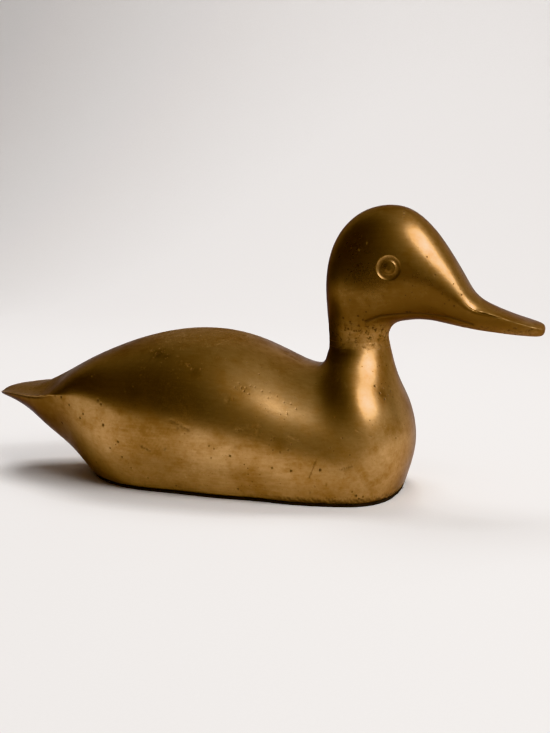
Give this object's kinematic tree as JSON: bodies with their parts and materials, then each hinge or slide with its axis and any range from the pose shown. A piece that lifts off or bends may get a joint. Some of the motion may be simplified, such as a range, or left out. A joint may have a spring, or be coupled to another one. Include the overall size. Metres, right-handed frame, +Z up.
{
  "type": "duck figurine",
  "caption": "Hollow brass duck in the manner of a floating decoy, with round grooved eyes and a flat felt-covered underside to stand on a shelf.",
  "frame": {"origin": "centre of the bounding box in plan, on the surface the duck stands on, which is the underside of the felt", "axes": "+X towards the bill, +Z up, +Y towards the duck's left; the pictured flank faces -Y"},
  "size_m": [0.254, 0.0884, 0.1258],
  "materials": {
    "body_brass": "aged, softly polished, pitted",
    "head_brass": "aged, softly polished, pitted",
    "braze": "filed and rubbed, matt",
    "board": "bare pressed fibreboard",
    "felt": "dark wool felt"
  },
  "bodies": {
    "root": {"body_casting": "body_brass", "head_casting": "head_brass", "neck_braze": "braze", "backing_board": "board", "felt_pad": "felt"}
  },
  "joints": []
}
